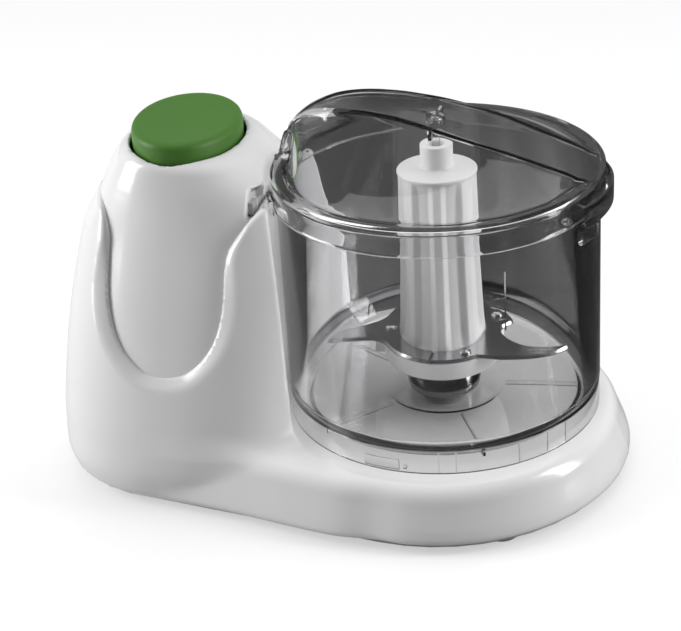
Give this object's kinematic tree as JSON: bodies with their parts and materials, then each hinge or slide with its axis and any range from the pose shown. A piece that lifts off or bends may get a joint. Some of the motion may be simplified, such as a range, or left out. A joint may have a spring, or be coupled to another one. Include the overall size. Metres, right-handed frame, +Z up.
{
  "type": "food processor",
  "caption": "Mini food chopper with a side motor tower, large green push button, clear bowl, twin-blade unit and clear lid with an arched grip.",
  "frame": {"origin": "on the ground under the middle of the whole object", "axes": "+Z up, +X along the length from the motor tower to the bowl, -Y towards the front"},
  "size_m": [0.2144, 0.146, 0.141],
  "materials": {
    "housing_white": "glossy white moulding",
    "button_green": "semi-gloss green",
    "clear_plastic": "clear, polished",
    "milky_white": "satin white",
    "base_grey": "matte grey",
    "black_plastic": "matte black",
    "foot_rubber": "matte grey rubber",
    "belt_rubber": "matte black rubber",
    "steel": "polished to satin",
    "motor_iron": "stamped sheet",
    "copper": "enamelled copper wire",
    "brass": "turned"
  },
  "bodies": {
    "base": {"main_housing": "housing_white", "tower_cover": "housing_white", "base_plate": "base_grey", "foot_front_left": "foot_rubber", "foot_rear_left": "foot_rubber", "foot_front_right": "foot_rubber", "foot_rear_right": "foot_rubber", "base_screw_1": "steel", "base_screw_2": "steel", "base_screw_3": "steel", "base_screw_4": "steel", "cord_gland": "foot_rubber", "button_guide": "milky_white", "button_spring": "steel", "pulse_switch": "black_plastic", "switch_plunger": "milky_white", "interlock_spring": "steel", "interlock_switch": "black_plastic", "stator_core": "motor_iron", "field_winding_lower": "copper", "field_winding_upper": "copper", "motor_bracket_lower": "motor_iron", "motor_bracket_upper": "motor_iron", "motor_bearing_lower": "steel", "motor_bearing_upper": "brass", "brush_holder_left": "black_plastic", "brush_holder_right": "black_plastic", "drive_belt": "belt_rubber", "drive_bush_lower": "brass", "drive_bush_upper": "brass", "shaft_seal": "foot_rubber"},
    "button": {"pulse_button": "button_green", "button_stem": "milky_white"},
    "interlock": {"interlock_lever": "base_grey"},
    "rotor": {"motor_shaft": "steel", "armature": "motor_iron", "armature_winding": "copper", "commutator": "copper", "cooling_fan": "black_plastic", "motor_pulley": "brass"},
    "drive": {"drive_pulley": "black_plastic", "drive_shaft": "steel"},
    "bowl": {"bowl": "clear_plastic", "bowl_collar": "steel"},
    "blade_unit": {"blade_carrier": "milky_white", "blade_right": "steel", "blade_left": "steel", "blade_rivet_1": "steel", "blade_rivet_2": "steel", "blade_rivet_3": "steel", "blade_rivet_4": "steel"},
    "lid": {"lid": "clear_plastic", "lid_pin": "clear_plastic"}
  },
  "joints": [
    {"name": "button_press", "type": "slide", "parent": "base", "child": "button", "axis": [0, 0, -1], "range_m": [0, 0.003], "stiffness_N_per_m": 600, "deforming": ["button_spring"]},
    {"name": "interlock_press", "type": "slide", "parent": "base", "child": "interlock", "axis": [-1, 0, 0], "range_m": [0, 0.003], "stiffness_N_per_m": 300, "deforming": ["interlock_spring"]},
    {"name": "motor_spin", "type": "hinge", "parent": "base", "child": "rotor", "pos_m": [-0.058, 0, 0.05], "axis": [0, 0, 1], "continuous": true},
    {"name": "drive_spin", "type": "hinge", "parent": "base", "child": "drive", "pos_m": [0.03825, 0, 0.03], "axis": [0, 0, 1], "continuous": true},
    {"name": "bowl_lift", "type": "slide", "parent": "base", "child": "bowl", "axis": [0, 0, 1], "range_m": [0, 0.12]},
    {"name": "blade_spin", "type": "hinge", "parent": "bowl", "child": "blade_unit", "pos_m": [0.03825, 0, 0.05], "axis": [0, 0, 1], "continuous": true},
    {"name": "lid_lift", "type": "slide", "parent": "bowl", "child": "lid", "axis": [0, 0, 1], "range_m": [0, 0.1]}
  ],
  "couplings": [
    {"joint": "drive_spin", "follows": "motor_spin", "ratio": 0.33333},
    {"joint": "blade_spin", "follows": "motor_spin", "ratio": 0.33333}
  ]
}
